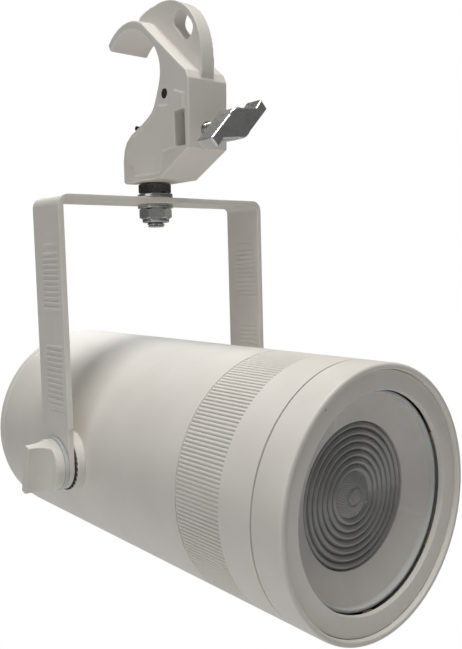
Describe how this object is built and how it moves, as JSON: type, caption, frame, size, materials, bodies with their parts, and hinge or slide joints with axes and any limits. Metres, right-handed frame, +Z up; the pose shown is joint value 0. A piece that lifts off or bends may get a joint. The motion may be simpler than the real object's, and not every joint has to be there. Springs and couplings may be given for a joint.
{
  "type": "follow spot",
  "caption": "White tubular zoom spot lamp on a U-shaped yoke with tilt knobs, hung by a hook clamp with a wing bolt; a fluted ring turns to slide the ridged lens.",
  "frame": {"origin": "on the axis of the hanging tube, in the middle of the hook clamp", "axes": "+X along the tube and the tilt axis, -Y the way the lamp shines at rest, +Z up"},
  "size_m": [0.173, 0.2676, 0.3036],
  "materials": {
    "white_coat": "satin powder coat, fine texture",
    "white_knob": "satin moulded",
    "grey_baffle": "matt moulded",
    "pale_washer": "satin",
    "black_steel": "black oxide",
    "zinc_steel": "bright zinc plate",
    "cast_zinc": "polished casting",
    "nylon": "satin",
    "blue_nylon": "satin",
    "clear_lens": "clear moulded optic",
    "bare_aluminium": "mill finish",
    "black_anodised": "matt anodised",
    "reflector_skin": "faceted vacuum metallised",
    "led_ceramic": "matt",
    "led_phosphor": "satin",
    "black_plastic": "matt moulded",
    "driver_plastic": "matt moulded",
    "spring_steel": "tempered"
  },
  "bodies": {
    "clamp": {"clamp_body": "white_coat", "tongue_pin": "black_steel", "clamp_nut": "zinc_steel", "yoke_bolt": "zinc_steel", "jam_nut": "black_steel", "pan_washer_top": "zinc_steel", "pan_friction_washer": "nylon", "pan_washer_bottom": "zinc_steel", "lock_nut": "zinc_steel", "lock_nut_insert": "blue_nylon"},
    "tongue": {"clamp_tongue": "black_steel"},
    "screw_pad": {"clamp_pad": "zinc_steel"},
    "wing_bolt": {"clamp_screw": "zinc_steel", "clamp_wing": "cast_zinc"},
    "yoke": {"yoke": "white_coat"},
    "head": {"housing_tube": "white_coat", "rear_cover": "white_coat", "rear_cover_screws": "zinc_steel", "tie_rods": "zinc_steel", "gland_body": "black_plastic", "gland_cap": "black_plastic", "gland_nut": "black_plastic", "heat_sink": "bare_aluminium", "led_board": "led_ceramic", "led_emitter": "led_phosphor", "led_holder": "black_plastic", "led_holder_screws": "zinc_steel", "reflector": "reflector_skin", "driver_plate": "zinc_steel", "driver_case": "driver_plastic", "terminal_block": "black_plastic", "lens_tube": "black_anodised", "front_bezel": "white_coat", "face_ring": "white_coat", "face_ring_clips": "spring_steel", "pivot_boss_left": "white_coat", "pivot_boss_right": "white_coat", "pivot_insert_left": "zinc_steel", "pivot_insert_right": "zinc_steel", "tooth_disc_left": "black_steel", "tooth_disc_right": "black_steel"},
    "zoom_ring": {"zoom_ring": "white_coat", "zoom_glide_rear": "nylon", "zoom_glide_front": "nylon"},
    "lens_carriage": {"lens_carriage": "grey_baffle", "zoom_guide_pins": "zinc_steel", "lens": "clear_lens", "lens_retainer": "black_plastic"},
    "washer_left": {"knob_washer_left": "pale_washer"},
    "knob_left": {"tilt_knob_left": "white_knob", "tilt_stud_left": "zinc_steel"},
    "washer_right": {"knob_washer_right": "pale_washer"},
    "knob_right": {"tilt_knob_right": "white_knob", "tilt_stud_right": "zinc_steel"}
  },
  "joints": [
    {"name": "yoke_pan", "type": "hinge", "parent": "clamp", "child": "yoke", "pos_m": [0, -0.0035, -0.067], "axis": [0, 0, 1], "continuous": true},
    {"name": "head_tilt", "type": "hinge", "parent": "yoke", "child": "head", "pos_m": [0, -0.0035, -0.207], "axis": [1, 0, 0], "range_deg": [-45, 90]},
    {"name": "zoom_turn", "type": "hinge", "parent": "head", "child": "zoom_ring", "pos_m": [0, -0.0035, -0.207], "axis": [0, -1, 0], "range_deg": [0, 90]},
    {"name": "lens_slide", "type": "slide", "parent": "head", "child": "lens_carriage", "axis": [0, 1, 0], "range_m": [0, 0.03]},
    {"name": "screw_advance", "type": "slide", "parent": "clamp", "child": "screw_pad", "axis": [0, -1, 0], "range_m": [-0.00125, 0.0075]},
    {"name": "wing_turn", "type": "hinge", "parent": "screw_pad", "child": "wing_bolt", "pos_m": [0, -0.06, -0.0357], "axis": [0, -1, 0], "range_deg": [-360, 2160]},
    {"name": "tongue_swing", "type": "hinge", "parent": "clamp", "child": "tongue", "pos_m": [0, -0.0335, -0.0148], "axis": [-1, 0, 0], "range_deg": [-3.4, 19.5]},
    {"name": "washer_slide_left", "type": "slide", "parent": "head", "child": "washer_left", "axis": [-1, 0, 0], "range_m": [-0.0001, 0.0016]},
    {"name": "knob_turn_left", "type": "hinge", "parent": "washer_left", "child": "knob_left", "pos_m": [-0.07, -0.0035, -0.207], "axis": [-1, 0, 0], "range_deg": [0, 360]},
    {"name": "washer_slide_right", "type": "slide", "parent": "head", "child": "washer_right", "axis": [1, 0, 0], "range_m": [-0.0001, 0.0016]},
    {"name": "knob_turn_right", "type": "hinge", "parent": "washer_right", "child": "knob_right", "pos_m": [0.07, -0.0035, -0.207], "axis": [1, 0, 0], "range_deg": [0, 360]}
  ],
  "couplings": [
    {"joint": "lens_slide", "follows": "zoom_turn", "m_per_rad": 0.019099},
    {"joint": "screw_advance", "follows": "wing_turn", "m_per_rad": 0.00019894},
    {"joint": "tongue_swing", "follows": "wing_turn", "ratio": 0.0089212},
    {"joint": "washer_slide_left", "follows": "knob_turn_left", "m_per_rad": 0.00019894},
    {"joint": "washer_slide_right", "follows": "knob_turn_right", "m_per_rad": 0.00019894}
  ]
}
